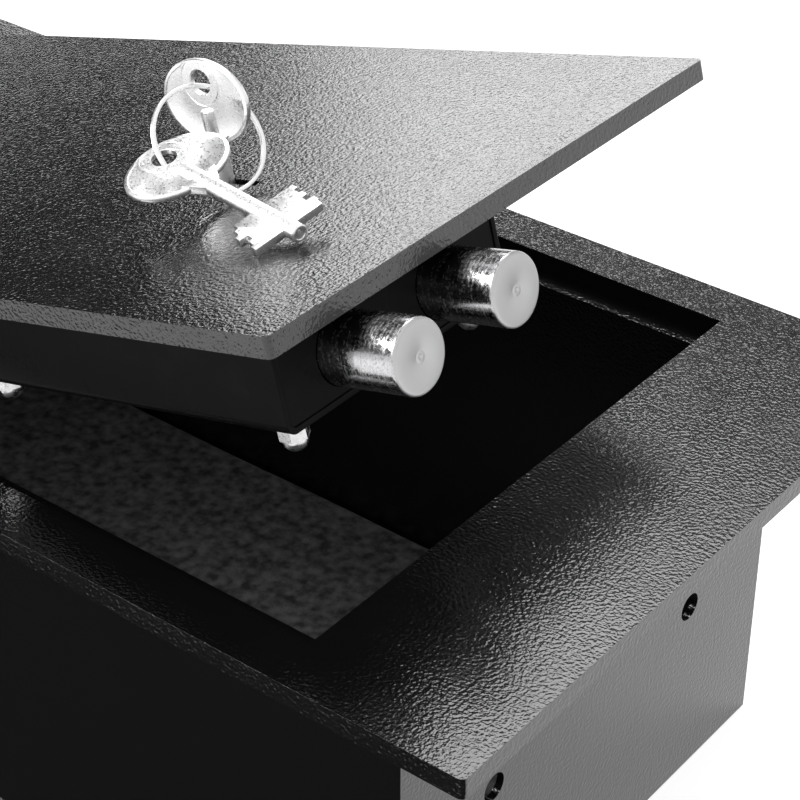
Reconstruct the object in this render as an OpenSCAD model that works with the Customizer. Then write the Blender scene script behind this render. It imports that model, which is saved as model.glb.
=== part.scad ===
// Floor safe with a lift-out plate lid, a key lock with two round bolts under it, and two keys on a ring.
// Origin: centre of the box's underside. +X is the bolt end, +Y the back, +Z up.

/* [Frame] */
// Length of the flange frame
frame_w = 500; // [480:1:540]
// Depth of the flange frame
frame_d = 250; // [248:1:270]
// Thickness of the frame plate
frame_t = 7; // [7:0.1:8]
// Corner radius of the plates
plate_corner_r = 2; // [1:0.5:4]
// Width of the frame's ledge over each end of the box
ledge_x = 27; // [24:0.5:28]
// Depth of the lid opening
open_d = 214; // [212:1:216]

/* [Box] */
// Height of the whole safe
safe_h = 150; // [140:1:170]
// Length of the box outside
box_w = 422; // [420:1:440]
// Depth of the box outside
box_d = 202; // [200:1:204]
// Thickness of the box sheet
wall_t = 2.5; // [2:0.1:3]
// Width of the ledge lip that is bent outwards under the frame
lip_w = 12; // [10:0.5:14]
// Diameter of an anchor hole
anchor_hole_d = 10; // [8:0.5:12]
// Distance between the two anchor holes of an end wall
anchor_pitch = 110; // [80:1:130]
// Height of the anchor holes
anchor_z = 74; // [50:1:90]
// Thickness of the floor mat
mat_t = 6; // [4:0.5:7]
// Gap between the mat and the walls
mat_gap = 1.5; // [1:0.5:4]

/* [Lid] */
// Angle at which the lid stands open
lid_tilt = 14.8; // [14:0.1:16]
// Thickness of the lid plate
lid_t = 6.6; // [6:0.1:6.8]
// Gap between the lid and the opening, at each end
lid_gap_x = 2; // [1.5:0.1:3]
// Gap between the lid and the opening, front and back
lid_gap_y = 1.5; // [1:0.1:2]
// How far the retaining tongue reaches under the frame
tongue_reach = 18; // [12:1:20]
// Length of the tongue's foot that is welded under the lid
tongue_foot = 38; // [30:1:50]
// Thickness of the tongue
tongue_t = 5; // [4:0.5:6]
// Clearance between the tongue and the frame
tongue_clear = 1.4; // [1.2:0.1:2]
// Width of the tongue
tongue_w = 190; // [120:1:196]

/* [Lock cover] */
// Distance from the lid's right edge to the cover
cover_inset = 11; // [9:0.5:12]
// Room between the levers' hubs and the cover's left end
cover_room = 12; // [10:0.5:16]
// Depth of the lock cover
cover_d = 100; // [98:1:104]
// Distance from the lid's front edge to the cover
cover_front = 10; // [9:0.5:12]
// Depth of the cover's underside below the lid's top face
cover_z = 36.2; // [36:0.1:38]
// Thickness of the cover sheet
cover_t = 2; // [1.5:0.1:2.2]
// Outer bend radius of the cover
cover_bend_r = 3.5; // [3:0.1:5]
// Thickness of an end plate of the cover
end_plate_t = 2; // [1.5:0.1:2.5]
// How far the end plates sit inside the cover's ends
end_plate_inset = 0.5; // [0.5:0.1:1]
// Diameter of a cover stud
stud_d = 5; // [4:0.5:5]
// Gap between a stud and the end plate beside it
stud_gap = 0.4; // [0.3:0.1:2]
// Distance of the front studs from the cover's side
stud_in_y = 7; // [6:0.1:8]
// Gap between the rear studs and the rear bolt
bolt_stud_gap = 1; // [0.6:0.1:3]
// Width of the nut across its flats
nut_flats = 8; // [7.5:0.1:9]
// Height of the nut's hexagon
nut_hex_h = 3.5; // [3:0.1:4]

/* [Bolts] */
// Diameter of a locking bolt
bolt_d = 22; // [20:0.5:22]
// Length of a locking bolt
bolt_len = 66; // [64:0.5:68]
// How far the thrown bolts stand out past the lid's edge
bolt_out = 16; // [15:0.5:17]
// Depth of the bolts' axis below the lid's top face
bolt_z = 21.5; // [21.3:0.1:22]
// Distance between the two bolts
bolt_pitch = 44; // [42:0.5:45]
// Distance from the lid's front edge to the front bolt
bolt_front_y = 38; // [37:0.5:38]
// Chamfer at a bolt's end
bolt_chamfer = 1.4; // [0.5:0.1:2]
// Thickness of the bolt bar
bar_t = 6; // [5:0.5:6]
// Diameter of a bolt screw
screw_d = 6; // [5:0.5:6]
// Diameter of a bolt screw's head
screw_head_d = 10; // [9:0.5:11]

/* [Lock] */
// Distance from the lid's right edge to the key's axis
key_from_edge = 99; // [98:0.5:100]
// Distance from the lid's front edge to the key's axis
key_from_front = 91; // [90.5:0.5:91.5]
// Tooth size of rack and pinion
gear_module = 1; // [1:0.1:1]
// Number of teeth on the pinion
pinion_teeth = 14; // [14:1:14]
// Play between the teeth
tooth_play = 0.34; // [0.3:0.02:0.5]
// Thickness of a lever
lever_t = 2.1; // [1.6:0.1:2.1]
// Diameter of the lever post
post_d = 6; // [5:0.5:6]
// Radial play of a lever on its post
lever_play = 0.1; // [0.08:0.01:0.1]
// Distance between the lever post and the key's axis, along the lid
lever_back = 23; // [22:0.5:24]
// Distance between the lever post and the key's axis, across the lid
lever_down = 35.5; // [35:0.5:37]
// Diameter of the stump
stump_d = 4; // [3.5:0.1:4.2]
// Thickness of the base plate
base_t = 2.1; // [1.8:0.1:2.2]
// Diameter of a base plate post
base_post_d = 5; // [4.5:0.1:5]

/* [Keys] */
// Diameter of the key's shank
shank_d = 5.5; // [5:0.1:5.6]
// Thickness of the key's bits
bit_t = 2.6; // [2:0.1:2.6]
// Height of one step of the bits
bit_step = 2.4; // [2.3:0.1:2.4]
// Width of the key's bow
bow_w = 35; // [32:0.5:36]
// Height of the key's bow
bow_h = 27.4; // [26:0.2:28]
// Thickness of the key's bow
bow_t = 2; // [1.8:0.1:2.2]
// Diameter of the hole in the bow
bow_hole_d = 8; // [8:0.1:8.4]
// Height of the bow's hole above the lid
bow_hole_z = 32.5; // [32.4:0.1:33]
// Diameter of the key ring, at the middle of its wire
ring_d = 36; // [36:0.1:36.2]
// Diameter of the ring's wire
ring_wire_d = 1.8; // [1.6:0.1:1.8]

/* [Hidden] */
$fn = 48;
e = 0.01;

// Gap between parts that move past each other
run_gap = 0.3;
// Gap between a piece and its seat
seat_gap = 0.1;
box_h = safe_h - frame_t;
open_w = box_w - 2 * ledge_x;
lid_w = open_w - 2 * lid_gap_x;
lid_d = open_d - 2 * lid_gap_y;
pivot_x = -open_w / 2 + lid_gap_x;
lid_front = -lid_d / 2;

cover_x1 = lid_w - cover_inset;
cover_y0 = lid_front + cover_front;
cover_y1 = cover_y0 + cover_d;
end_x1 = cover_x1 - end_plate_inset;
cover_in_z = -cover_z + cover_t;
stud_end = 4.8;
nut_r = nut_flats / sqrt(3);
dome_r = nut_flats / 2 - 0.1;

bolt_tip_x = lid_w + bolt_out;
bolt_tail_x = bolt_tip_x - bolt_len;
bolt_y = [lid_front + bolt_front_y, lid_front + bolt_front_y + bolt_pitch];
bar_x0 = bolt_tail_x - bar_t;
bar_y0 = bolt_y[0] - 12.5;
bar_top = -10;
bar_bottom = cover_in_z + run_gap;
screw_head_h = 3;
screw_len = 14;
screw_play = 0.05;

key_x = lid_w - key_from_edge;
key_y = lid_front + key_from_front;
pitch_r = gear_module * pinion_teeth / 2;
// The bolts travel half a turn of the pinion
throw = PI * pitch_r;
tooth_pitch = PI * gear_module;
addendum = 0.85 * gear_module;
dedendum = 1.2 * gear_module;

// Widths of the key's steps from its shank to its tip, on either side
bit_right = [13, 11.4, 12.6, 10.2, 13, 12.2];
bit_left = [9.4, 11.2, 13, 10, 11.8, 13];
bit_reach = max(max(bit_right), max(bit_left));
bit_count = len(bit_right);
tip_below_bit = 4;
shank_in_bow = 9;
tip_z = -31;
bit_bottom = tip_z + tip_below_bit;
bit_top = bit_bottom + bit_count * bit_step;
key_tip = tip_z - bow_hole_z;
slot_play = 0.5;

flange_r = bit_reach + 1.2;
flange_top = bit_bottom + 1;
flange_t = 2.2;
pinion_top = flange_top - flange_t - 0.6;
base_top = cover_in_z + base_t + seat_gap;
pinion_bottom = base_top + 0.4;
journal_r = 4;
journal_play = 0.08;

lever_x = key_x - lever_back;
lever_y = key_y - lever_down;
lever_hub_r = 6;
cover_x0 = lever_x - lever_hub_r - cover_room;
cover_w = cover_x1 - cover_x0;
end_x0 = cover_x0 + end_plate_inset;
stud_in_x = end_plate_inset + end_plate_t + stud_gap + stud_d / 2;
stud_x = [cover_x0 + stud_in_x, cover_x1 - stud_in_x];
stud_y = [cover_y0 + stud_in_y, bolt_y[1] + bolt_d / 2 + bolt_stud_gap + stud_d / 2];
lever_half = 8;
// The belly reaches up to the key from the lever's body
belly_half = 11;
belly_foot_half = 13.5;
belly_drop = 12;
lever_low_half = 7;
lever_end = bar_x0 - throw - 2.2;
lever_reach = lever_end - lever_x;
stump_x = lever_end - 7;
lever_low = bit_top - 4.5 * bit_step - lever_t / 2;
arm_top = lever_low - 0.8;
arm_t = 2;
arm_half = stump_d / 2 + 1.2;
gate_half = stump_d / 2 + 0.35;
pocket_half = 4.3;

base_x0 = lever_x - 5.3;
base_x1 = bar_x0 - throw - 1.2;
base_y0 = lever_y - lever_half - 8;
base_y1 = cover_y1 - cover_t - 1;
// Two posts stand near the levers' hubs and one behind the rotor
post_in_x = 4.2;
post_in_y = 4.5;
post_by_rotor = [12, 12.8];
base_post_xy = [[base_x0 + post_in_x, key_y + 8.5], [base_x0 + post_in_x, base_y0 + post_in_y],
    [key_x + post_by_rotor[0], key_y + post_by_rotor[1]]];
base_screw_d = 3;
base_screw_in = 6;
base_sink = 1.2;

ring_place = [key_x + 6.2, key_y - 8.7, 17.2];
ring_turn = [0, 57.9, -9.2];
spare_tip = [key_x + 64.1, key_y - 36.5, 3];
spare_yaw = -10.4;
spare_pitch = -77.1;
spare_roll = 79;

steel_black = [0.09, 0.09, 0.1];
inside_black = [0.05, 0.05, 0.055];
plated = [0.75, 0.75, 0.77];
nickel = [0.82, 0.82, 0.84];
lock_steel = [0.5, 0.5, 0.52];
lever_brass = [0.72, 0.6, 0.3];
felt_grey = [0.16, 0.16, 0.17];

// Puts a piece of the lid where the lid stands: lid coordinates start at its left top edge
module on_lid() {
    translate([pivot_x, 0, safe_h])
        rotate([0, -lid_tilt, 0])
            children();
}

// A plate outline with round corners, centred
module round_rect(w, d, r) {
    square([w - 2 * r, d], center = true);
    square([w, d - 2 * r], center = true);
    for (x = [-1, 1], y = [-1, 1])
        translate([x * (w / 2 - r), y * (d / 2 - r)])
            circle(r);
}

module frame_plate() {
    color(steel_black)
        translate([0, 0, box_h])
            difference() {
                linear_extrude(frame_t)
                    round_rect(frame_w, frame_d, plate_corner_r);
                translate([-open_w / 2, -open_d / 2, -e])
                    cube([open_w, open_d, frame_t + 2 * e]);
            }
}

// An end wall stands between the front and back walls and carries two anchor holes
module end_wall() {
    difference() {
        translate([box_w / 2 - wall_t, -box_d / 2 + wall_t, 0])
            cube([wall_t, box_d - 2 * wall_t, box_h]);
        for (y = [-1, 1])
            translate([box_w / 2 - 2 * wall_t, y * anchor_pitch / 2, anchor_z])
                rotate([0, 90, 0])
                    cylinder(d = anchor_hole_d, h = 3 * wall_t);
    }
}

module wall_right() {
    color(steel_black) end_wall();
}

module wall_left() {
    color(steel_black) mirror([1, 0, 0]) end_wall();
}

// A long wall has its top edge bent outwards, and the lid's edge rests on that ledge
module long_wall() {
    translate([-box_w / 2, box_d / 2 - wall_t, 0])
        cube([box_w, wall_t, box_h]);
    translate([-box_w / 2, box_d / 2 - e, box_h - wall_t])
        cube([box_w, lip_w + e, wall_t]);
}

module wall_back() {
    color(steel_black) long_wall();
}

module wall_front() {
    color(steel_black) mirror([0, 1, 0]) long_wall();
}

module box_floor() {
    color(inside_black)
        translate([-box_w / 2 + wall_t, -box_d / 2 + wall_t, 0])
            cube([box_w - 2 * wall_t, box_d - 2 * wall_t, wall_t]);
}

module floor_mat() {
    color(felt_grey)
        translate([0, 0, wall_t])
            linear_extrude(mat_t)
                round_rect(box_w - 2 * wall_t - 2 * mat_gap, box_d - 2 * wall_t - 2 * mat_gap, 3);
}

// The keyhole is a round hole with a slot to each side, along the lid
module lid_plate() {
    color(steel_black)
        on_lid()
            difference() {
                translate([lid_w / 2, 0, -lid_t])
                    linear_extrude(lid_t)
                        round_rect(lid_w, lid_d, plate_corner_r);
                translate([key_x, key_y, -lid_t - e]) {
                    cylinder(d = shank_d + 2 * slot_play, h = lid_t + 2 * e);
                    translate([-bit_reach - slot_play, -bit_t / 2 - slot_play, 0])
                        cube([2 * (bit_reach + slot_play), bit_t + 2 * slot_play, lid_t + 2 * e]);
                }
            }
}

// The tongue's nose is lower than its foot, so that it passes under the frame
module retaining_tongue() {
    color(inside_black)
        on_lid() {
            translate([lid_gap_x, -tongue_w / 2, -lid_t - tongue_clear - tongue_t])
                cube([tongue_foot, tongue_w, tongue_t + tongue_clear]);
            translate([-tongue_reach, -tongue_w / 2, -lid_t - tongue_clear - tongue_t])
                cube([tongue_reach + lid_gap_x + e, tongue_w, tongue_t]);
        }
}

// Cross-section of the cover: a channel that is open at the top, with round bends below
module channel(d, h, r) {
    translate([0, r])
        square([d, h - r]);
    translate([r, 0])
        square([d - 2 * r, h]);
    for (y = [r, d - r])
        translate([y, r])
            circle(r);
}

module lock_cover() {
    inner_r = cover_bend_r - cover_t;
    color(inside_black)
        on_lid()
            difference() {
                translate([cover_x0, cover_y0, -cover_z])
                    rotate([90, 0, 90])
                        linear_extrude(cover_w)
                            difference() {
                                channel(cover_d, cover_z - lid_t, cover_bend_r);
                                translate([cover_t, cover_t])
                                    channel(cover_d - 2 * cover_t, cover_z, inner_r);
                            }
                for (x = stud_x, y = stud_y)
                    translate([x, y, -cover_z - e])
                        cylinder(d = stud_d + 0.5, h = cover_t + 2 * e);
            }
}

// An end plate closes the channel and follows its round bends
module end_plate(x) {
    translate([x, cover_y0 + cover_t + seat_gap, cover_in_z + seat_gap])
        rotate([90, 0, 90])
            linear_extrude(end_plate_t)
                channel(cover_d - 2 * cover_t - 2 * seat_gap, cover_z - cover_t - lid_t - seat_gap,
                    cover_bend_r - cover_t + seat_gap);
}

module end_plate_right() {
    color(inside_black)
        on_lid()
            difference() {
                end_plate(end_x1 - end_plate_t);
                for (y = bolt_y)
                    translate([end_x1 - end_plate_t - e, y, -bolt_z])
                        rotate([0, 90, 0])
                            cylinder(d = bolt_d + 2 * run_gap, h = end_plate_t + 2 * e);
            }
}

module end_plate_left() {
    color(inside_black)
        on_lid()
            end_plate(end_x0);
}

module cover_studs() {
    color(plated)
        on_lid()
            for (x = stud_x, y = stud_y)
                translate([x, y, -cover_z - stud_end])
                    cylinder(d = stud_d, h = cover_z + stud_end - lid_t);
}

// Domed cap nuts hold the cover on its studs
module cap_nut() {
    difference() {
        union() {
            translate([0, 0, -nut_hex_h])
                cylinder(r = nut_r, h = nut_hex_h, $fn = 6);
            translate([0, 0, -nut_hex_h - 0.2])
                cylinder(r = dome_r, h = 1);
            translate([0, 0, -nut_hex_h - 0.2])
                intersection() {
                    sphere(dome_r);
                    translate([0, 0, -dome_r])
                        cylinder(r = dome_r + 1, h = dome_r);
                }
        }
        translate([0, 0, -stud_end - 0.4])
            cylinder(d = stud_d + 0.1, h = stud_end + 1);
    }
}

module cover_nuts() {
    color(plated)
        on_lid()
            for (x = stud_x, y = stud_y)
                translate([x, y, -cover_z])
                    cap_nut();
}

module base_plate() {
    color(lock_steel)
        on_lid()
            difference() {
                translate([base_x0, base_y0, base_top - base_t])
                    cube([base_x1 - base_x0, base_y1 - base_y0, base_t]);
                translate([key_x, key_y, base_top - base_t - e])
                    cylinder(r = journal_r + journal_play, h = base_t + 2 * e);
                for (p = base_post_xy)
                    translate([p[0], p[1], base_top - base_t - e]) {
                        cylinder(d = base_screw_d + 0.4, h = base_t + 2 * e);
                        cylinder(d1 = base_screw_d + 2.8, d2 = base_screw_d + 0.4, h = base_sink);
                    }
            }
}

module base_posts() {
    color(lock_steel)
        on_lid()
            for (p = base_post_xy)
                translate([p[0], p[1], base_top])
                    difference() {
                        cylinder(d = base_post_d, h = -lid_t - base_top);
                        translate([0, 0, -e])
                            cylinder(d = base_screw_d, h = base_screw_in + e);
                    }
}

// Countersunk heads are let into the base plate's underside
module base_screws() {
    color(lock_steel)
        on_lid()
            for (p = base_post_xy)
                translate([p[0], p[1], base_top - base_t]) {
                    cylinder(d = base_screw_d - seat_gap, h = base_t + base_screw_in - 0.5);
                    cylinder(d1 = base_screw_d + 2.4, d2 = base_screw_d - seat_gap, h = base_sink);
                }
}

// The post has a collar under the lowest lever
module lever_post() {
    color(lock_steel)
        on_lid()
            translate([lever_x, lever_y, 0]) {
                translate([0, 0, base_top])
                    cylinder(d = post_d, h = -lid_t - base_top);
                translate([0, 0, base_top])
                    cylinder(d = post_d + 2, h = lever_low - run_gap - base_top);
            }
}

// A wound spring on the post, with an arm that reaches a base post
module lever_spring() {
    color(plated)
        on_lid()
            translate([lever_x, lever_y, -lid_t - 3.2]) {
                difference() {
                    cylinder(d = post_d + 3, h = 2.8);
                    translate([0, 0, -e])
                        cylinder(d = post_d + 0.6, h = 2.8 + 2 * e);
                }
                arm_y = base_post_xy[1][1] + base_post_d / 2 + seat_gap - lever_y;
                translate([-post_d / 2 - 1.4, arm_y, 0.4])
                    cube([1, -arm_y, 1]);
            }
}

// One lever: hub, gated body, and a belly that stands just outside the turning key's step
module lever(i) {
    belly_r = max(bit_right[i], bit_left[i]) + 0.6;
    on_lid()
        translate([lever_x, lever_y, bit_top - (i + 0.5) * bit_step - lever_t / 2])
            linear_extrude(lever_t)
                difference() {
                    union() {
                        circle(lever_hub_r);
                        polygon([[0, -lever_low_half], [lever_reach, -lever_low_half],
                            [lever_reach, lever_half], [lever_back + belly_foot_half, lever_half],
                            [lever_back + belly_half, lever_down - belly_drop],
                            [lever_back - belly_half, lever_down - belly_drop],
                            [lever_back - belly_foot_half, lever_half], [0, lever_half]]);
                    }
                    circle(d = post_d + 2 * lever_play);
                    translate([lever_back, lever_down])
                        circle(belly_r);
                    translate([stump_x - lever_x - throw, -gate_half])
                        square([throw, 2 * gate_half]);
                    translate([stump_x - lever_x - stump_d / 2 - 1, -pocket_half])
                        square([stump_d + 2, 2 * pocket_half]);
                    translate([stump_x - lever_x - throw - stump_d / 2 - 0.4, -pocket_half + 1])
                        square([stump_d + 1.4, 2 * pocket_half - 2]);
                }
}

module lever_1() {
    color(lever_brass) lever(0);
}

module lever_2() {
    color(lever_brass) lever(1);
}

module lever_3() {
    color(lever_brass) lever(2);
}

module lever_4() {
    color(lever_brass) lever(3);
}

module lever_5() {
    color(lever_brass) lever(4);
}

// A round bolt with chamfered ends and a tapped hole in its tail
module lock_bolt(y) {
    on_lid()
        translate([bolt_tail_x, y, -bolt_z])
            rotate([0, 90, 0])
                difference() {
                    rotate_extrude()
                        polygon([[0, 0], [bolt_d / 2, 0], [bolt_d / 2, bolt_len - bolt_chamfer],
                            [bolt_d / 2 - bolt_chamfer, bolt_len], [1.6, bolt_len], [0, bolt_len - 0.8]]);
                    translate([0, 0, -e])
                        cylinder(d = screw_d + 2 * screw_play, h = screw_len - bar_t + 1);
                }
}

module bolt_front() {
    color(plated) lock_bolt(bolt_y[0]);
}

module bolt_rear() {
    color(plated) lock_bolt(bolt_y[1]);
}

module bolt_bar() {
    color(lock_steel)
        on_lid()
            difference() {
                translate([bar_x0, bar_y0, bar_bottom])
                    cube([bar_t, bolt_y[1] + 12 - bar_y0, bar_top - bar_bottom]);
                for (y = bolt_y)
                    translate([bar_x0, y, -bolt_z])
                        rotate([0, 90, 0]) {
                            translate([0, 0, -e])
                                cylinder(d = screw_d + 2 * screw_play, h = bar_t + 2 * e);
                            translate([0, 0, -e])
                                cylinder(d = screw_head_d + 2 * screw_play, h = screw_head_h + e);
                        }
            }
}

module bolt_screws() {
    color(plated)
        on_lid()
            for (y = bolt_y)
                translate([bar_x0, y, -bolt_z])
                    rotate([0, 90, 0])
                        difference() {
                            union() {
                                cylinder(d = screw_d, h = screw_len);
                                cylinder(d = screw_head_d, h = screw_head_h);
                            }
                            translate([0, 0, -e])
                                cylinder(r = 2.3, h = 2, $fn = 6);
                        }
}

// A straight tooth that is narrower at its tip; flank angle of twenty degrees
module rack_tooth() {
    half = (tooth_pitch - tooth_play) / 4 - tooth_play / 4;
    spread = tan(20);
    polygon([[-half - dedendum * spread, -dedendum - e], [half + dedendum * spread, -dedendum - e],
        [half - addendum * spread, addendum], [-half + addendum * spread, addendum]]);
}

// The rack runs along the front of the pinion and is welded to the bolt bar
module gear_rack() {
    first = key_x - 1.5 * tooth_pitch;
    count = ceil(throw / tooth_pitch) + 4;
    color(lock_steel)
        on_lid()
            translate([0, key_y - pitch_r, pinion_bottom + 0.2])
                linear_extrude(pinion_top - pinion_bottom - 0.4) {
                    translate([first - 1.6, -dedendum - 5])
                        square([bar_x0 - first + 1.6, 5]);
                    for (i = [0:count - 1])
                        translate([first + i * tooth_pitch, 0])
                            rack_tooth();
                }
}

// The stump stands on an arm and travels through the levers' gates
module stump_arm() {
    color(lock_steel)
        on_lid() {
            translate([stump_x - arm_half, lever_y - arm_half, arm_top - arm_t])
                cube([bar_x0 - stump_x + arm_half, 2 * arm_half, arm_t]);
            translate([stump_x, lever_y, arm_top - e])
                cylinder(d = stump_d, h = bit_top - arm_top + 0.6);
        }
}

function involute(a) = tan(a) * 180 / PI - a;

// Half the angle that a pinion tooth spans at a radius
function tooth_half_angle(r) = let (base_r = pitch_r * cos(20), a = acos(min(1, base_r / r)))
    (tooth_pitch / 2 - tooth_play) / 2 / pitch_r * 180 / PI + involute(20) - involute(a);

module pinion_outline() {
    root_r = pitch_r - dedendum;
    tip_r = pitch_r + addendum;
    radii = [for (i = [0:5]) root_r + (tip_r - root_r) * i / 5];
    circle(root_r + e);
    for (k = [0:pinion_teeth - 1])
        rotate(-90 + k * 360 / pinion_teeth)
            polygon(concat([[root_r - 1, -1]],
                [for (r = radii) [r * cos(tooth_half_angle(r)), -r * sin(tooth_half_angle(r))]],
                [for (i = [5:-1:0]) let (r = radii[i])
                    [r * cos(tooth_half_angle(r)), r * sin(tooth_half_angle(r))]],
                [[root_r - 1, 1]]));
}

// The rotor takes the key's tip and lowest bits and drives the rack
module key_rotor() {
    color(lock_steel)
        on_lid()
            translate([key_x, key_y, 0])
                difference() {
                    union() {
                        translate([0, 0, flange_top - flange_t])
                            cylinder(r = flange_r, h = flange_t);
                        translate([0, 0, pinion_top - e])
                            cylinder(r = pitch_r - dedendum, h = flange_top - flange_t - pinion_top + 2 * e);
                        translate([0, 0, pinion_bottom])
                            linear_extrude(pinion_top - pinion_bottom)
                                pinion_outline();
                        translate([0, 0, base_top - base_t])
                            cylinder(r = journal_r, h = pinion_bottom - base_top + base_t + e);
                    }
                    translate([0, 0, tip_z - 0.3])
                        cylinder(d = shank_d + 0.3, h = 20);
                    translate([-bit_reach - 0.4, -bit_t / 2 - 0.3, bit_bottom - 0.4])
                        cube([2 * bit_reach + 0.8, bit_t + 0.6, 10]);
                }
}

// A double-bitted key: local zero is the bow's hole and the tip points down
module key_body() {
    bow_mid = bow_hole_d / 2 + 3.35 - bow_h / 2;
    difference() {
        union() {
            translate([0, bow_t / 2, bow_mid])
                rotate([90, 0, 0])
                    linear_extrude(bow_t)
                        polygon([for (a = [0:6:354]) [bow_w / 2 * cos(a), bow_h / 2 * sin(a)]]);
            translate([0, 0, key_tip])
                cylinder(d = shank_d, h = -shank_in_bow - key_tip);
        }
        translate([0, bow_t, 0])
            rotate([90, 0, 0])
                cylinder(d = bow_hole_d, h = 2 * bow_t);
    }
    for (i = [0:bit_count - 1])
        translate([-bit_left[i], -bit_t / 2, key_tip + tip_below_bit + (bit_count - 1 - i) * bit_step])
            cube([bit_left[i] + bit_right[i], bit_t, bit_step]);
}

module lock_key() {
    color(nickel)
        on_lid()
            translate([key_x, key_y, bow_hole_z])
                key_body();
}

module spare_key() {
    color(nickel)
        on_lid()
            translate(spare_tip)
                rotate([0, 0, spare_yaw])
                    rotate([0, spare_pitch, 0])
                        rotate([0, 0, spare_roll])
                            translate([0, 0, -key_tip])
                                key_body();
}

module key_ring() {
    color(nickel)
        on_lid()
            translate(ring_place)
                rotate(ring_turn)
                    rotate_extrude($fn = 96)
                        translate([ring_d / 2, 0])
                            circle(d = ring_wire_d, $fn = 24);
}

frame_plate();
wall_right();
wall_left();
wall_front();
wall_back();
box_floor();
floor_mat();
lid_plate();
retaining_tongue();
lock_cover();
end_plate_right();
end_plate_left();
cover_studs();
cover_nuts();
base_plate();
base_posts();
base_screws();
lever_post();
lever_spring();
lever_1();
lever_2();
lever_3();
lever_4();
lever_5();
bolt_front();
bolt_rear();
bolt_bar();
bolt_screws();
gear_rack();
stump_arm();
key_rotor();
lock_key();
key_ring();
spare_key();
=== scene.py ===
import math

import bmesh
import bpy
from mathutils import Euler, Matrix, Vector


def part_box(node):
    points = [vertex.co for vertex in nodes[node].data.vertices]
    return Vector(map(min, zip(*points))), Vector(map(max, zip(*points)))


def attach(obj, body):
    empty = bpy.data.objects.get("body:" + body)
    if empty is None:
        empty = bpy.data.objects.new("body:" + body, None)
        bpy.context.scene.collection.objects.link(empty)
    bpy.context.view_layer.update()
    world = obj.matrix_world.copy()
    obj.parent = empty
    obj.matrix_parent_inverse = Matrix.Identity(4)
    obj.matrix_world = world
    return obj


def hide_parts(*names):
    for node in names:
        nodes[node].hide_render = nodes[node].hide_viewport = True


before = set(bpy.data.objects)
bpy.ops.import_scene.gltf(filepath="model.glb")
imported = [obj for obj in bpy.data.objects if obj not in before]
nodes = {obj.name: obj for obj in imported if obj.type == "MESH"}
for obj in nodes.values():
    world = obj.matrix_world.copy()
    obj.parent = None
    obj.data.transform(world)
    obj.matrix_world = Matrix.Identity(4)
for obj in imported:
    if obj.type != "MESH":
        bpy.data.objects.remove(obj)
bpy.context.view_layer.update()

# ---------------------------------------------------------------------------------------------------------------
# Camera: a long lens close above the near right corner, looking down over the open lid. Its place and turn were
# solved from the straight edges of flange, lid and bolts, and its shift frames the safe as the photograph does.
camera_place = (0.5104, -0.4869, 0.5654)
camera_turn = (56.914, -0.134, 38.258)
lens_length, sensor_width = 105.77, 36
lens_shift = (0.0118, -0.0366)
nearest_seen = 0.02

lens_data = bpy.data.cameras.new("long_lens")
lens_data.lens = lens_length
lens_data.sensor_width = sensor_width
lens_data.shift_x, lens_data.shift_y = lens_shift
lens_data.clip_start = nearest_seen
camera = bpy.data.objects.new("long_lens", lens_data)
camera.location = camera_place
camera.rotation_euler = Euler([math.radians(angle) for angle in camera_turn])
bpy.context.scene.collection.objects.link(camera)
bpy.context.scene.camera = camera
bpy.context.scene.view_settings.view_transform = "Standard"

# ---------------------------------------------------------------------------------------------------------------
# Frame plate: 7 mm steel with the opening cut out, edges broken with a file, then powder coated in black with
# the hammered grain that hides scratches. The coat pools softly over each edge and shines there.
frame_edge = 0.0012
coat_black = (0.007, 0.007, 0.0073)
coat_grain, coat_grain_depth = 0.0012, 0.00016
coat_swell, coat_swell_depth = 0.03, 0.0001
coat_cloud = 0.02
smooth_below, bevel_above = math.radians(32), math.radians(40)
weld_reach = 0.000002


def fill(tree, socket, value):
    """Links another node's output into a socket, or sets the socket to a plain value"""
    if isinstance(value, bpy.types.NodeSocket):
        tree.links.new(value, socket)
    else:
        socket.default_value = value


def add_node(tree, kind, settings=(), **values):
    """A shader node with its settings, and its inputs set by name, spaces written as underscores"""
    node = tree.nodes.new(kind)
    for name, value in dict(settings).items():
        setattr(node, name, value)
    for name, value in values.items():
        fill(tree, node.inputs[name.replace("_", " ")], value)
    return node


def finish_of(name, colour, metallic, roughness, **values):
    """A material whose plain values sit on the shader itself: the material, its node tree and the shader. A
    pattern linked later takes the place of a plain colour or roughness"""
    material = bpy.data.materials.new(name)
    material.use_nodes = True
    tree = material.node_tree
    surface = tree.nodes["Principled BSDF"]
    surface.inputs["Base Color"].default_value = (*colour, 1)
    surface.inputs["Metallic"].default_value = metallic
    surface.inputs["Roughness"].default_value = roughness
    for socket, value in values.items():
        surface.inputs[socket.replace("_", " ")].default_value = value
    return material, tree, surface


def grain(tree, size, detail=2.0, stretch=(1, 1, 1)):
    """Noise from 0 to 1 with blotches about that many metres wide, narrower along an axis that is stretched"""
    place = add_node(tree, "ShaderNodeTexCoord").outputs["Object"]
    scaled = add_node(tree, "ShaderNodeMapping", Vector=place, Scale=stretch).outputs["Vector"]
    return add_node(tree, "ShaderNodeTexNoise", Vector=scaled, Scale=1 / size, Detail=detail).outputs["Fac"]


def spread(tree, value, seen, wanted):
    """The value carried from the range that it is seen in to the range wanted, and held inside it"""
    return add_node(tree, "ShaderNodeMapRange", Value=value, From_Min=seen[0], From_Max=seen[1],
                    To_Min=wanted[0], To_Max=wanted[1]).outputs["Result"]


def cloud_shine(tree, surface, pattern, seen, roughness):
    """Roughness that follows a pattern, so that the surface shines unevenly"""
    fill(tree, surface.inputs["Roughness"], spread(tree, pattern, seen, roughness))


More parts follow.
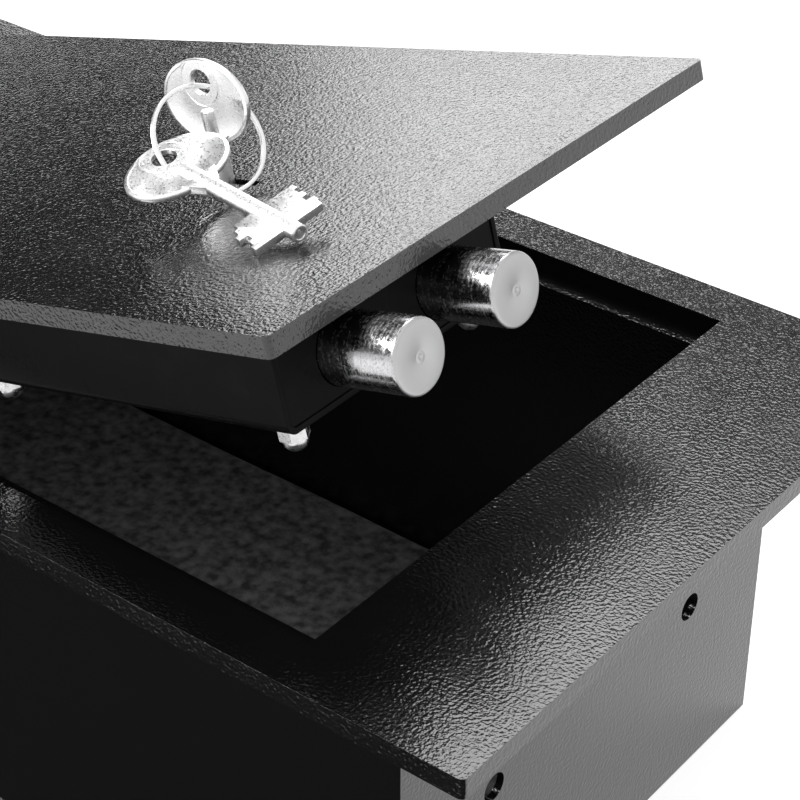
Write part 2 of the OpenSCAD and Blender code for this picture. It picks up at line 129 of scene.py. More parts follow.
def emboss(tree, surface, height, depth):
    """Bump of that depth in metres, laid over any bump that the surface has already"""
    bump = add_node(tree, "ShaderNodeBump", Strength=1.0, Distance=depth, Height=height)
    if surface.inputs["Normal"].is_linked:
        tree.links.new(surface.inputs["Normal"].links[0].from_socket, bump.inputs["Normal"])
    tree.links.new(bump.outputs["Normal"], surface.inputs["Normal"])


def hammered_coat():
    """The coat's fine grain, over a slow swell where it ran before it set"""
    material, tree, surface = finish_of("hammered_black_coat", coat_black, 0.0, 0.3, IOR=1.52,
                                        Specular_IOR_Level=0.72)
    emboss(tree, surface, grain(tree, coat_grain, 1.0), coat_grain_depth)
    emboss(tree, surface, grain(tree, coat_swell, 1.0), coat_swell_depth)
    cloud_shine(tree, surface, grain(tree, coat_cloud), (0.3, 0.7), (0.13, 0.17))
    return material


def smooth_by_angle():
    """A modifier's node group that shades smoothly wherever faces meet at less than the angle set above"""
    group = bpy.data.node_groups.new("shade_by_angle", "GeometryNodeTree")
    for direction in ("INPUT", "OUTPUT"):
        group.interface.new_socket("Geometry", in_out=direction, socket_type="NodeSocketGeometry")
    start, end = group.nodes.new("NodeGroupInput"), group.nodes.new("NodeGroupOutput")
    angle = group.nodes.new("GeometryNodeInputMeshEdgeAngle")
    steep = group.nodes.new("FunctionNodeCompare")
    steep.operation = "GREATER_THAN"
    steep.inputs[1].default_value = smooth_below
    faces = group.nodes.new("GeometryNodeSetShadeSmooth")
    faces.domain = "FACE"
    edges = group.nodes.new("GeometryNodeSetShadeSmooth")
    edges.domain = "EDGE"
    edges.inputs["Shade Smooth"].default_value = False
    link = group.links.new
    link(start.outputs[0], faces.inputs[0])
    link(faces.outputs[0], edges.inputs[0])
    link(angle.outputs["Unsigned Angle"], steep.inputs[0])
    link(steep.outputs[0], edges.inputs["Selection"])
    link(edges.outputs[0], end.inputs[0])
    return group


shade_by_angle = smooth_by_angle()


def dress(names, material, edge=0.0, segments=3):
    """Gives CAD nodes their material, and rounds their edges with modifiers, which leave the node's mesh alone"""
    for name in names:
        node = nodes[name]
        node.data.materials.clear()
        node.data.materials.append(material)
        weld = node.modifiers.new("weld", "WELD")
        weld.merge_threshold = weld_reach
        if edge:
            bevel = node.modifiers.new("soft_edges", "BEVEL")
            bevel.width = edge
            bevel.segments = segments
            bevel.limit_method = "ANGLE"
            bevel.angle_limit = bevel_above
        shade = node.modifiers.new("shade", "NODES")
        shade.node_group = shade_by_angle
        flat = node.modifiers.new("flat_faces", "WEIGHTED_NORMAL")
        flat.weight = 100
        flat.keep_sharp = True


black_coat = hammered_coat()
dress(["frame_plate"], black_coat, edge=frame_edge)

# ---------------------------------------------------------------------------------------------------------------
# Box: 2.5 mm sheet, the long walls bent outwards at the top into the ledges that carry the lid, the end walls
# punched for the anchor bolts, all welded under the frame and coated with it, inside and out.
dress(["wall_front", "wall_back", "wall_right", "wall_left", "box_floor"], black_coat)

# ---------------------------------------------------------------------------------------------------------------
# Floor mat: needled grey-black felt, cut to the box and laid loose on its floor. Its fibres lie in pale and dark
# tufts, and it is a little uneven.
felt_low, felt_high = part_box("floor_mat")
felt_cells = (138, 66)
felt_shoulder = 0.0016
felt_wave, felt_crest_room = 0.00022, 0.0005
felt_dark, felt_pale = (0.07, 0.07, 0.072), (0.34, 0.341, 0.347)
felt_tuft, felt_tuft_depth = 0.0045, 0.0004
felt_fibre, felt_fibre_depth = 0.0007, 0.0003


def felt_unevenness(u, v):
    """Height of two slow waves across the mat, the first of which bends to and fro"""
    return felt_wave * (math.sin(u * 61 + 1.3 * math.sin(v * 47)) + math.sin(v * 83 + u * 29))


def felt_sheet():
    """A closed slab whose top is a grid with round shoulders, so that each edge turns down softly"""
    mesh = bmesh.new()
    width, length = felt_high.x - felt_low.x, felt_high.y - felt_low.y
    columns, rows = felt_cells
    top, under = [], []
    for i in range(columns + 1):
        for j in range(rows + 1):
            u, v = i / columns * width, j / rows * length
            inwards = min(u, v, width - u, length - v)
            drop = felt_shoulder * (1 - min(inwards / felt_shoulder, 1)) ** 2
            height = felt_high.z - felt_crest_room + felt_unevenness(u, v) - drop
            top.append(mesh.verts.new((felt_low.x + u, felt_low.y + v, height)))
            under.append(mesh.verts.new((felt_low.x + u, felt_low.y + v, felt_low.z)))
    step = rows + 1
    for i in range(columns):
        for j in range(rows):
            a = i * step + j
            mesh.faces.new([top[k] for k in (a, a + step, a + step + 1, a + 1)])
            mesh.faces.new([under[k] for k in (a, a + 1, a + step + 1, a + step)])
    border = list(range(rows)) + [i * step + rows for i in range(columns)]
    border += [columns * step + j for j in range(rows, 0, -1)] + [i * step for i in range(columns, 0, -1)]
    for a, b in zip(border, border[1:] + border[:1]):
        mesh.faces.new([top[a], top[b], under[b], under[a]])
    bmesh.ops.recalc_face_normals(mesh, faces=mesh.faces)
    return mesh


def object_from(mesh, name, material, place=Matrix.Identity(4), crease=35):
    """A Blender object from an edited mesh, carried to its place and shaded smoothly up to the crease angle"""
    data = bpy.data.meshes.new(name)
    mesh.to_mesh(data)
    mesh.free()
    data.transform(place)
    data.shade_smooth()
    data.set_sharp_from_angle(angle=math.radians(crease))
    data.materials.append(material)
    piece = bpy.data.objects.new(name, data)
    bpy.context.scene.collection.objects.link(piece)
    return piece


def two_tone(tree, pattern, seen, dark, pale):
    """Colour that goes from dark to pale as the pattern goes through the range that it is seen in"""
    ramp = add_node(tree, "ShaderNodeValToRGB", Fac=pattern)
    for stop, value, colour in zip(ramp.color_ramp.elements, seen, (dark, pale)):
        stop.position = value
        stop.color = (*colour, 1)
    return ramp.outputs["Color"]


def felt_finish():
    """Matt fibres that catch a little light at their tips, in tufts of two greys"""
    material, tree, surface = finish_of("needled_felt", (0.03, 0.03, 0.031), 0.0, 0.95, Specular_IOR_Level=0.2,
                                        Sheen_Weight=0.25, Sheen_Roughness=0.5)
    tufts = grain(tree, felt_tuft, 8.0)
    fill(tree, surface.inputs["Base Color"], two_tone(tree, tufts, (0.34, 0.68), felt_dark, felt_pale))
    emboss(tree, surface, tufts, felt_tuft_depth)
    emboss(tree, surface, grain(tree, felt_fibre, 2.0), felt_fibre_depth)
    return material


felt = object_from(felt_sheet(), "felt_mat", felt_finish())
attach(felt, "safe_body")
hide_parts("floor_mat")

# ---------------------------------------------------------------------------------------------------------------
# Lid: one plate of 6.6 mm steel, coated like the frame, with the key's slot cut through it and a steel tongue
# welded under its left edge, which hooks below the frame. It stands ajar about its left top edge, and what it
# carries is placed in its own axes: X along it, Y to the back, Z out of its top.
lid_tilt = math.radians(14.8)
lid_left_edge = (-0.182, 0, 0.150)
lid_place = Matrix.Translation(lid_left_edge) @ Matrix.Rotation(-lid_tilt, 4, "Y")
lid_edge, tongue_edge = 0.0008, 0.0005
dress(["lid_plate"], black_coat, edge=lid_edge)
dress(["retaining_tongue"], black_coat, edge=tongue_edge)

# ---------------------------------------------------------------------------------------------------------------
# Lock cover: 2 mm sheet bent to a channel, with an end plate set into each end. All of it is sprayed in a smooth
# satin black, which shows the slight waves of the bent sheet.
cover_edge = 0.0003
satin_deep_black = (0.005, 0.005, 0.0055)
sheet_wave, sheet_wave_depth = 0.05, 0.0004
spray_peel, spray_peel_depth = 0.006, 0.00005
spray_cloud = 0.012


def satin_black():
    """Thin paint with a faint orange peel, on sheet that isn't quite flat"""
    material, tree, surface = finish_of("satin_black", satin_deep_black, 0.0, 0.34, Specular_IOR_Level=0.05)
    emboss(tree, surface, grain(tree, spray_peel, 2.0), spray_peel_depth)
    emboss(tree, surface, grain(tree, sheet_wave, 1.0), sheet_wave_depth)
    cloud_shine(tree, surface, grain(tree, spray_cloud, 3.0), (0.3, 0.7), (0.24, 0.36))
    return material


dress(["lock_cover", "end_plate_right", "end_plate_left"], satin_black(), edge=cover_edge)

# ---------------------------------------------------------------------------------------------------------------
# Studs and cap nuts: four threaded studs welded under the lid carry the cover, each closed by a zinc-plated nut
# with a domed cap.
stud_edge, nut_edge = 0.0002, 0.00025
zinc_grey, zinc_roughness = (0.62, 0.62, 0.63), 0.22
zinc_blotch = 0.0022
zinc_grain, zinc_grain_depth = 0.0009, 0.00003


def zinc_plate():
    """Bright zinc, with the milky blotches of the bath"""
    material, tree, surface = finish_of("zinc_plate", zinc_grey, 1.0, zinc_roughness)
    cloud_shine(tree, surface, grain(tree, zinc_blotch, 5.0), (0.35, 0.7),
                (zinc_roughness * 0.7, zinc_roughness * 1.9))
    emboss(tree, surface, grain(tree, zinc_grain, 3.0), zinc_grain_depth)
    return material


zinc = zinc_plate()
dress(["cover_studs"], zinc, edge=stud_edge, segments=2)
dress(["cover_nuts"], zinc, edge=nut_edge, segments=2)

# ---------------------------------------------------------------------------------------------------------------
# Bolts: bright zinc-plated 22 mm steel bars, turned to length. Each end is faced in a lathe, which leaves fine
# rings, a shallow groove, a small dimple in the middle and a rounded edge. The sides are polished, with dust and
# wear marks, and their colour is also painted darker than the ends' grey, as painted shade.
bolt_tail, bolt_tip, bolt_axis_z = 0.314, 0.380, -0.0215
bolt_rows = {"front": -0.0675, "rear": -0.0235}
bolt_radius, bolt_tail_chamfer = 0.011, 0.0004
bolt_round, bolt_round_steps = 0.0012, 6
# depth below the tip's face and radius, from the outside in
bolt_face_groove = [(0, 0.0021), (0.00004, 0.002), (0.00004, 0.0017), (0, 0.0016)]
bolt_face_dimple = [(0, 0.0009), (0.0004, 0.00035), (0.0005, 0)]
bolt_faced_depth = 0.00055
# the sides' two greys carry dust specks, and both are painted darker than the end's grey as painted shade
bolt_side_shaded_dark, bolt_side_shaded_pale, bolt_end_grey = (0.3, 0.3, 0.31), (0.52, 0.52, 0.53), (0.5, 0.5, 0.505)
bolt_mark, bolt_mark_stretch, bolt_speck = 0.006, (9, 1, 1), 0.0009
bolt_mark_depth = 0.000006
lathe_rings_per_metre = 5200.0


def turned(outline, sides=128):
    """A solid turned about local X from an outline of (place along the axis, radius)"""
    mesh = bmesh.new()
    rings = []
    for along, radius in outline:
        if radius == 0:
            rings.append([mesh.verts.new((along, 0, 0))])
            continue
        rings.append([mesh.verts.new((along, radius * math.cos(math.tau * k / sides),
                                      radius * math.sin(math.tau * k / sides))) for k in range(sides)])
    for low, high in zip(rings, rings[1:]):
        for k in range(sides):
            n = (k + 1) % sides
            if len(low) == 1:
                mesh.faces.new([low[0], high[k], high[n]])
            elif len(high) == 1:
                mesh.faces.new([low[k], high[0], low[n]])
            else:
                mesh.faces.new([low[k], high[k], high[n], low[n]])
    bmesh.ops.recalc_face_normals(mesh, faces=mesh.faces)
    return mesh


def bolt_outline():
    """From the centre of the tail face round the side to the dimple in the middle of the tip"""
    length = bolt_tip - bolt_tail
    round_start, round_centre = length - bolt_round, bolt_radius - bolt_round
    outline = [(0, 0), (0, bolt_radius - bolt_tail_chamfer), (bolt_tail_chamfer, bolt_radius),
               (round_start, bolt_radius)]
    for k in range(1, bolt_round_steps):
        turn = math.radians(90 * k / bolt_round_steps)
        outline.append((round_start + bolt_round * math.sin(turn), round_centre + bolt_round * math.cos(turn)))
    face = [(0, round_centre)] + bolt_face_groove + bolt_face_dimple
    return outline + [(length - depth, radius) for depth, radius in face]


def combined(tree, operation, first, second):
    """The result of a Math node over two values, each another node's output or a number"""
    node = add_node(tree, "ShaderNodeMath", {"operation": operation})
    fill(tree, node.inputs[0], first)
    fill(tree, node.inputs[1], second)
    return node.outputs["Value"]


def bolt_finish():
    """One metal with two surfaces: the polished side, and the end that the lathe has faced"""
    material, tree, surface = finish_of("polished_zinc_bar", (0.60, 0.60, 0.61), 1.0, 0.2)
    place = add_node(tree, "ShaderNodeTexCoord").outputs["Object"]
    axes = add_node(tree, "ShaderNodeSeparateXYZ", Vector=place).outputs
    is_end = combined(tree, "GREATER_THAN", axes["X"], bolt_tip - bolt_tail - bolt_faced_depth)

    # the faced end: rings about the axis
    across = add_node(tree, "ShaderNodeCombineXYZ", Y=axes["Y"], Z=axes["Z"]).outputs["Vector"]
    radius = add_node(tree, "ShaderNodeVectorMath", {"operation": "LENGTH"}, Vector=across).outputs["Value"]
    rings = add_node(tree, "ShaderNodeTexNoise", {"noise_dimensions": "1D"}, W=radius,
                     Scale=lathe_rings_per_metre, Detail=3.0).outputs["Fac"]

    # the side: fine marks round the bar, and dust specks
    marks = grain(tree, bolt_mark, 4.0, stretch=bolt_mark_stretch)
    specks = grain(tree, bolt_speck, 6.0)
    worn = combined(tree, "MULTIPLY", marks, specks)

    def by_surface(side, end):
        """A value for the side and one for the end"""
        return add_node(tree, "ShaderNodeMix", {"data_type": "FLOAT"}, Factor=is_end, A=side,
                        B=end).outputs["Result"]

    fill(tree, surface.inputs["Roughness"], by_surface(spread(tree, worn, (0.15, 0.36), (0.1, 0.3)),
                                                       spread(tree, rings, (0.3, 0.7), (0.42, 0.52))))
    emboss(tree, surface, by_surface(marks, rings), bolt_mark_depth)

    # a Mix node keeps its colours in sockets 6 and 7, and the mixed colour in output 2
    colour = add_node(tree, "ShaderNodeMix", {"data_type": "RGBA"}, Factor=is_end)
    # the side's colour: dust specks over a grey painted darker than the end's, as painted shade
    fill(tree, colour.inputs[6], two_tone(tree, specks, (0.3, 0.52), bolt_side_shaded_dark, bolt_side_shaded_pale))
    fill(tree, colour.inputs[7], (*bolt_end_grey, 1))
    fill(tree, surface.inputs["Base Color"], colour.outputs[2])
    return material


bolt_bright = bolt_finish()
for bolt_row, bolt_y in bolt_rows.items():
    bolt = object_from(turned(bolt_outline()), "turned_bolt_" + bolt_row, bolt_bright)
    bolt.matrix_world = lid_place @ Matrix.Translation((bolt_tail, bolt_y, bolt_axis_z))
    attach(bolt, "bolt_work")
    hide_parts("bolt_" + bolt_row)

# ---------------------------------------------------------------------------------------------------------------
# Lock works under the cover: blanked and milled steel parts with an oiled grey face, screws and posts of turned
# steel, and five levers stamped from brass strip.
works_edge, screw_edge, lever_edge = 0.0002, 0.00015, 0.00012
oiled_grey, oiled_roughness = (0.34, 0.34, 0.35), 0.34
brass_yellow, brass_roughness = (0.62, 0.44, 0.18), 0.28
draw_line, draw_line_depth, draw_stretch = 0.004, 0.00002, (1, 12, 1)


def drawn_metal(name, colour, roughness):
    """Rolled or drawn metal, with the fine lines that the rolls leave"""
    material, tree, surface = finish_of(name, colour, 1.0, roughness)
    lines = grain(tree, draw_line, 5.0, stretch=draw_stretch)
    cloud_shine(tree, surface, lines, (0.3, 0.7), (roughness * 0.75, roughness * 1.4))
    emboss(tree, surface, lines, draw_line_depth)
    return material


oiled_steel = drawn_metal("oiled_steel", oiled_grey, oiled_roughness)
brass_strip = drawn_metal("brass_strip", brass_yellow, brass_roughness)
dress(["bolt_bar", "base_plate", "gear_rack", "stump_arm", "key_rotor"], oiled_steel, edge=works_edge, segments=2)
dress(["bolt_screws", "base_screws", "base_posts", "lever_post", "lever_spring"], zinc, edge=screw_edge, segments=2)
dress(["lever_%d" % number for number in range(1, 6)], brass_strip, edge=lever_edge, segments=1)

# ---------------------------------------------------------------------------------------------------------------
# Keys: cast zinc alloy bow with a ring line round its hole, on a turned shank with six-step bits on both sides,
# bored at its tip, all bright nickel plated. One stands in the lock, the other lies across the lid. Each is made
# upright: its hole's centre at the origin, its tip down Z, its flat faces towards Y.
key_hole_r, key_bow_half = 0.004, 0.001
key_bow_x, key_bow_z, key_bow_centre = 0.0175, 0.0137, -0.00635
bow_hole_chamfer, bow_side_drop = 0.0003, 0.0006
bow_line_r, bow_line_half, bow_line_foot, bow_line_depth = 0.0074, 0.00025, 0.0001, 0.00016
bow_least_rim, bow_field_depth, bow_field_room = 0.0009, 0.0002, 0.003
key_neck_top, key_neck_foot = (0.0066, -0.0168), (0.0028, -0.0238)
key_neck_half, key_neck_bevel = 0.00145, 0.0005
key_shank_r, key_top, key_tip = 0.00275, -0.009, -0.0635
key_top_chamfer, key_tip_chamfer = 0.0003, 0.0004
key_bore_r, key_bore_mouth, key_bore_depth, key_bore_cone = 0.0017, 0.0002, 0.005, 0.0008
key_bit_half, key_bit_top, key_bit_step = 0.0013, -0.0451, 0.0024
key_bit_root, key_bit_bevel = 0.0015, 0.00016
key_bit_right = (0.013, 0.0114, 0.0126, 0.0102, 0.013, 0.0122)
key_bit_left = (0.0094, 0.0112, 0.013, 0.010, 0.0118, 0.013)
nickel_white = (0.95, 0.95, 0.955)
nickel_cloud, nickel_cloud_depth = 0.0008, 0.00003
nickel_pit, nickel_pit_depth = 0.0004, 0.00001
# in the lid's own axes: the hole of the key that stands in the lock, and the tip and turns of the one that lies
lock_key_hole = (0.265, -0.0145, 0.0325)
spare_key_tip = (0.3291, -0.051, 0.003)
spare_key_heading, spare_key_lean, spare_key_roll = (math.radians(a) for a in (-10.4, -77.1, 79))


def bow_edge(angle):
    """Distance from the hole's centre to the bow's edge in that direction: the bow is an ellipse about a point
    below the hole"""
    c, s = math.cos(angle), math.sin(angle)
    a = (c / key_bow_x) ** 2 + (s / key_bow_z) ** 2
    b = -2 * s * key_bow_centre / key_bow_z ** 2
    d = (key_bow_centre / key_bow_z) ** 2 - 1
    return (-b + math.sqrt(b * b - 4 * a * d)) / (2 * a)


def bow_profile(angle):
    """From the hole out to the edge in that direction, as (radius, height over the middle plane): chamfer, collar,
    engraved line, dished field and raised rim, all of them narrower where the bow has less room"""
    far, top = bow_edge(angle), key_bow_half
    line = min(bow_line_r, far - bow_least_rim)
    room = far - line - bow_line_half
    dish = bow_field_depth * min(room / bow_field_room, 1)
    collar = [(key_hole_r, top - bow_hole_chamfer), (key_hole_r + bow_hole_chamfer, top)]
    engraved = [(line - bow_line_half, top), (line - bow_line_foot, top - bow_line_depth),
                (line + bow_line_foot, top - bow_line_depth), (line + bow_line_half, top - dish * 0.3)]
    field = [(line + bow_line_half + room * 0.25, top - dish)]
    # how far in from the edge at most, as a share of the room, and how far below the top
    rim_steps = ((0.0017, 0.55, dish), (0.0013, 0.45, 0), (0.0006, 0.3, 0.00003), (0.0002, 0.12, 0.0002))
    rim = [(far - min(reach, room * share), top - below) for reach, share, below in rim_steps]
    return collar + engraved + field + rim + [(far, top - bow_side_drop)]


def add_bow(mesh, turns=120):
    """The bow's two faces from profiles all round the hole, joined at the hole and at the edge"""
    stations = []
    for k in range(turns):
        angle = math.tau * k / turns
        stations.append([(r * math.cos(angle), r * math.sin(angle), y) for r, y in bow_profile(angle)])
    faces = [[[mesh.verts.new((x, side * y, z)) for x, z, y in row] for row in stations] for side in (-1, 1)]
    count = len(stations[0])
    for k in range(turns):
        n = (k + 1) % turns
        for grid in faces:
            for j in range(count - 1):
                mesh.faces.new([grid[k][j], grid[k][j + 1], grid[n][j + 1], grid[n][j]])
        for j in (0, count - 1):
            mesh.faces.new([faces[0][k][j], faces[0][n][j], faces[1][n][j], faces[1][k][j]])


def add_prism(mesh, outline, half, bevel):
    """A flat piece with that outline in X and Z, of twice that thickness, with its edges broken"""
    sides = [[mesh.verts.new((x, y, z)) for x, z in outline] for y in (-half, half)]
    made = [mesh.faces.new(side) for side in sides]
    count = len(outline)
    for k in range(count):
        n = (k + 1) % count
        made.append(mesh.faces.new([sides[0][k], sides[0][n], sides[1][n], sides[1][k]]))
    edges = list(dict.fromkeys(edge for face in made for edge in face.edges))
    bmesh.ops.bevel(mesh, geom=edges, offset=bevel, segments=2, affect="EDGES", profile=0.6)


def neck_outline():
    """The neck that narrows from the bow to the shank"""
    (wide, top), (narrow, foot) = key_neck_top, key_neck_foot
    return [(-wide, top), (wide, top), (narrow, foot), (-narrow, foot)]


def bit_outline(widths, side):
    """The bit's steps from the top down, on one side of the shank"""
    points = [(side * key_bit_root, key_bit_top)]
    for k, width in enumerate(widths):
        points += [(side * width, key_bit_top - row * key_bit_step) for row in (k, k + 1)]
    return points + [(side * key_bit_root, key_bit_top - len(widths) * key_bit_step)]


def shank_outline():
    """From inside the bow round the side to the tip and down its bore, as (distance below the hole, radius)"""
    top, tip = -key_top, -key_tip
    side = [(top, 0), (top, key_shank_r - key_top_chamfer), (top + key_top_chamfer, key_shank_r),
            (tip - key_tip_chamfer, key_shank_r), (tip, key_shank_r - key_tip_chamfer)]
    bore = [(tip, key_bore_r + key_bore_mouth), (tip - key_bore_mouth, key_bore_r),
            (tip - key_bore_depth, key_bore_r), (tip - key_bore_depth - key_bore_cone, 0)]
    return side + bore


def key_solid():
    """Bow, neck, bits and shank in one mesh"""
    mesh = bmesh.new()
    add_bow(mesh)
    add_prism(mesh, neck_outline(), key_neck_half, key_neck_bevel)
    for widths, side in ((key_bit_right, 1), (key_bit_left, -1)):
        add_prism(mesh, bit_outline(widths, side), key_bit_half, key_bit_bevel)
    shank = turned(shank_outline(), sides=64)
    bmesh.ops.transform(shank, matrix=Matrix.Rotation(math.radians(90), 4, "Y"), verts=shank.verts)
    part = bpy.data.meshes.new("shank_scratch")
    shank.to_mesh(part)
    shank.free()
    mesh.from_mesh(part)
    bpy.data.meshes.remove(part)
    bmesh.ops.recalc_face_normals(mesh, faces=mesh.faces)
    return mesh


def nickel_finish():
    """Bright nickel over a casting that was tumbled, not polished, so that it is a little cloudy and pitted"""
    material, tree, surface = finish_of("bright_nickel", nickel_white, 0.9, 0.3)
    cloudy = grain(tree, nickel_cloud, 4.0)
    cloud_shine(tree, surface, cloudy, (0.32, 0.7), (0.24, 0.42))
    emboss(tree, surface, cloudy, nickel_cloud_depth)
    emboss(tree, surface, grain(tree, nickel_pit, 3.0), nickel_pit_depth)
    return material


nickel = nickel_finish()
lock_key_place = lid_place @ Matrix.Translation(lock_key_hole)
spare_key_turn = (Matrix.Rotation(spare_key_heading, 4, "Z") @ Matrix.Rotation(spare_key_lean, 4, "Y")
                  @ Matrix.Rotation(spare_key_roll, 4, "Z"))
spare_key_place = (lid_place @ Matrix.Translation(spare_key_tip) @ spare_key_turn
                   @ Matrix.Translation((0, 0, -key_tip)))
for key_name, place, body, node in (("nickel_key", lock_key_place, "key", "lock_key"),
                                    ("nickel_spare_key", spare_key_place, "loose_key", "spare_key")):
    key = object_from(key_solid(), key_name, nickel, place, crease=28)
    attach(key, body)
    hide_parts(node)

# ---------------------------------------------------------------------------------------------------------------
# Key ring: a split ring of spring wire, wound twice and pressed flat, nickel plated. The step where one turn
# crosses to the other shows, and both wire ends are cut square.
ring_mean_r, ring_half_wide, ring_half_thick = 0.018, 0.00068, 0.00043
ring_turn_offset, ring_crossing = 0.00045, math.radians(32)
ring_steps, ring_sides = 288, 10
ring_centre = (0.2712, -0.0232, 0.0172)
ring_heading, ring_lean, ring_start = (math.radians(a) for a in (-9.2, 57.9, 200))


def split_ring():
    """Two turns of flattened wire about Z. One lies below the middle plane and one above it, with a smooth step
    from one to the other half way along"""
    mesh = bmesh.new()
    loops = []
    for k in range(ring_steps + 1):
        turn = 2 * math.tau * k / ring_steps
        share = max(0.0, min(1.0, (turn - math.tau + ring_crossing / 2) / ring_crossing))
        offset = (share * share * (3 - 2 * share) * 2 - 1) * ring_turn_offset
        loop = []
        for j in range(ring_sides):
            a = math.tau * j / ring_sides
            radius = ring_mean_r + ring_half_wide * math.cos(a)
            loop.append(mesh.verts.new((radius * math.cos(turn), radius * math.sin(turn),
                                        offset + ring_half_thick * math.sin(a))))
        loops.append(loop)
    for low, high in zip(loops, loops[1:]):
        for j in range(ring_sides):
            n = (j + 1) % ring_sides
            mesh.faces.new([low[j], low[n], high[n], high[j]])
    mesh.faces.new(loops[0])
    mesh.faces.new(loops[-1][::-1])
    bmesh.ops.recalc_face_normals(mesh, faces=mesh.faces)
    return mesh


ring_place = (lid_place @ Matrix.Translation(ring_centre) @ Matrix.Rotation(ring_heading, 4, "Z")
              @ Matrix.Rotation(ring_lean, 4, "Y") @ Matrix.Rotation(ring_start, 4, "Z"))
ring = object_from(split_ring(), "split_ring", nickel, ring_place)
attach(ring, "ring")
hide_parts("key_ring")

# ---------------------------------------------------------------------------------------------------------------
# Studio floor and sweep: white paper under and behind the safe, seen as plain white by the camera and in
# reflections, while it lights the safe only softly.
sweep_light, sweep_seen = 0.55, 1.0
paper_white, paper_seen = (0.85, 0.85, 0.85), 0.75
paper_half_size, paper_height = 6, -0.0003
plain_white = (1, 1, 1, 1)


def white_seen(tree, plain, strength):
    """Plain light for diffuse rays, and white for what the camera, mirrors and glass see"""
    path = add_node(tree, "ShaderNodeLightPath").outputs
    seen = path["Is Camera Ray"]
    for ray in ("Is Glossy Ray", "Is Transmission Ray"):
        seen = combined(tree, "MAXIMUM", seen, path[ray])
    return spread(tree, seen, (0, 1), (plain, strength))


world = bpy.data.worlds.new("white_sweep")
bpy.context.scene.world = world
world.use_nodes = True
world_tree = world.node_tree
sky = world_tree.nodes["Background"]
sky.inputs["Color"].default_value = plain_white
fill(world_tree, sky.inputs["Strength"], white_seen(world_tree, sweep_light, sweep_seen))

floor_mesh = bmesh.new()
bmesh.ops.create_grid(floor_mesh, x_segments=2, y_segments=2, size=paper_half_size)
floor_finish, floor_tree, floor_surface = finish_of("white_floor", paper_white, 0.0, 0.8)
floor_surface.inputs["Emission Color"].default_value = plain_white
fill(floor_tree, floor_surface.inputs["Emission Strength"], white_seen(floor_tree, 0.0, paper_seen))
cloud_shine(floor_tree, floor_surface, grain(floor_tree, 0.4, 2.0), (0.3, 0.7), (0.75, 0.85))
floor = object_from(floor_mesh, "floor", floor_finish, Matrix.Translation((0, 0, paper_height)))

# ---------------------------------------------------------------------------------------------------------------
# Studio cards: matt black and grey cards that only reflections see. They stand behind and beside the safe, and
# keep the left of the lid and the near end of the frame dark as in the photograph.
safe_middle = Vector((0.05, 0, 0.15))
card_black_level, card_grey_level = 0.03, 0.2
card_paint, card_cells = (0.003, 0.003, 0.003), (12, 6)
# the black card that lies on the floor in front of the safe is a painted shadow of the safe on the floor
floor_shadow_card_size, floor_shadow_card_at = (1.5, 0.21), (-0.25, -0.2065, 0.0008)


def towards(azimuth, elevation, distance):
    """A point in that direction from the safe, degrees anticlockwise from +X and up from the floor"""
    a, e = math.radians(azimuth), math.radians(elevation)
    return safe_middle + distance * Vector((math.cos(a) * math.cos(e), math.sin(a) * math.cos(e), math.sin(e)))


def card_finish(name, brightness):
    """A card that mirrors see as a plain grey: it gives that much light and throws none back"""
    material, _, surface = finish_of(name, card_paint, 0.0, 0.9, Specular_IOR_Level=0.0)
    surface.inputs["Emission Color"].default_value = plain_white
    surface.inputs["Emission Strength"].default_value = brightness
    return material


def stand_card(mesh, name, finish, place=Matrix.Identity(4)):
    """Stands a card in the studio, out of sight except in reflections"""
    card = object_from(mesh, name, finish, place)
    card.visible_camera = card.visible_diffuse = card.visible_shadow = False


def curved_card(name, finish, azimuths, elevations, distance=5.0):
    """A card that bends round the safe between two azimuths and two elevations"""
    mesh = bmesh.new()
    across, up = card_cells
    rows = [[mesh.verts.new(towards(azimuths[0] + (azimuths[1] - azimuths[0]) * i / across,
                                    elevations[0] + (elevations[1] - elevations[0]) * j / up, distance))
             for j in range(up + 1)] for i in range(across + 1)]
    for i in range(across):
        for j in range(up):
            mesh.faces.new([rows[i][j], rows[i + 1][j], rows[i + 1][j + 1], rows[i][j + 1]])
    stand_card(mesh, name, finish)


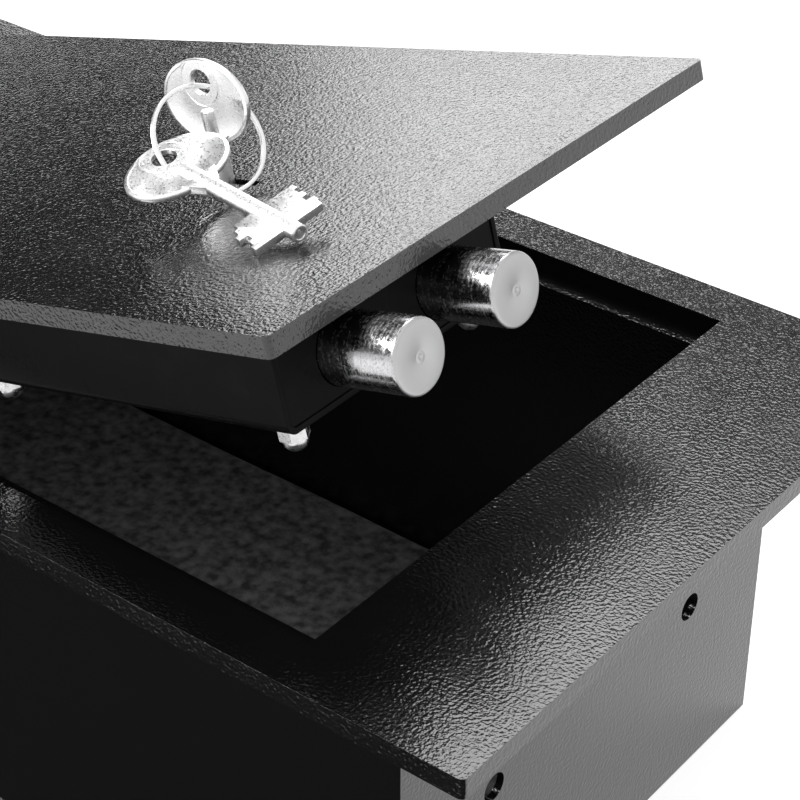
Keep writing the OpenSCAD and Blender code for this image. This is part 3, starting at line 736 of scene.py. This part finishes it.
card_black = card_finish("card_black", card_black_level)
card_grey = card_finish("card_grey", card_grey_level)
# Painted shadow: a black card flat on the floor in front of the safe, where its shadow falls, seen only in the
# reflections in the safe's front and flange
floor_shadow_card_mesh = bmesh.new()
bmesh.ops.create_grid(floor_shadow_card_mesh, x_segments=4, y_segments=1, size=0.5)
bmesh.ops.scale(floor_shadow_card_mesh, vec=(*floor_shadow_card_size, 1), verts=floor_shadow_card_mesh.verts)
stand_card(floor_shadow_card_mesh, "card_floor_shadow", card_black, Matrix.Translation(floor_shadow_card_at))
curved_card("card_left", card_black, (136.0, 215), (-4, 10.8), 3.6)
curved_card("card_upper", card_black, (141, 215), (8, 45))
curved_card("card_foot", card_black, (139, 215), (0.1, 6.5), 1.3)
curved_card("card_low", card_black, (95, 139), (-4, 4.5))
curved_card("card_high", card_grey, (60, 141), (24, 39))
curved_card("card_right", card_black, (22, 64), (-14, -3), 0.43)

# ---------------------------------------------------------------------------------------------------------------
# Studio lamps: soft boxes that face the safe, given by azimuth, elevation, distance, width, height and radiance.
# The two behind it make the shine on lid and frame, the others light its near edges, its front and its right end.


def soft_box(name, azimuth, elevation, distance, width, height, radiance):
    """A rectangular lamp turned to the safe, as bright all over as its radiance says"""
    lamp = bpy.data.lights.new(name, "AREA")
    lamp.shape = "RECTANGLE"
    lamp.size, lamp.size_y = width, height
    lamp.energy = radiance * math.pi * width * height
    box = bpy.data.objects.new(name, lamp)
    bpy.context.scene.collection.objects.link(box)
    point = towards(azimuth, elevation, distance)
    facing = (safe_middle - point).to_track_quat("-Z", "Y").to_matrix().to_4x4()
    box.matrix_world = Matrix.Translation(point) @ facing
    box.visible_camera = False
    return box


soft_box("back_box", 128.5, 13.5, 4.0, 1.6, 1.15, 2.7)
soft_box("high_box", 126, 50.5, 3.4, 1.7, 1.35, 4.6)
soft_box("edge_box", 182, 54, 3.0, 0.45, 0.45, 3.0)
soft_box("front_box", 222, 13, 2.4, 0.5, 0.5, 5.0)
line_box = soft_box("line_box", 230, 38, 2.4, 0.8, 1.1, 22.0)
line_box.visible_diffuse = False
soft_box("side_box", 262, 42, 2.4, 0.9, 0.9, 1.6)
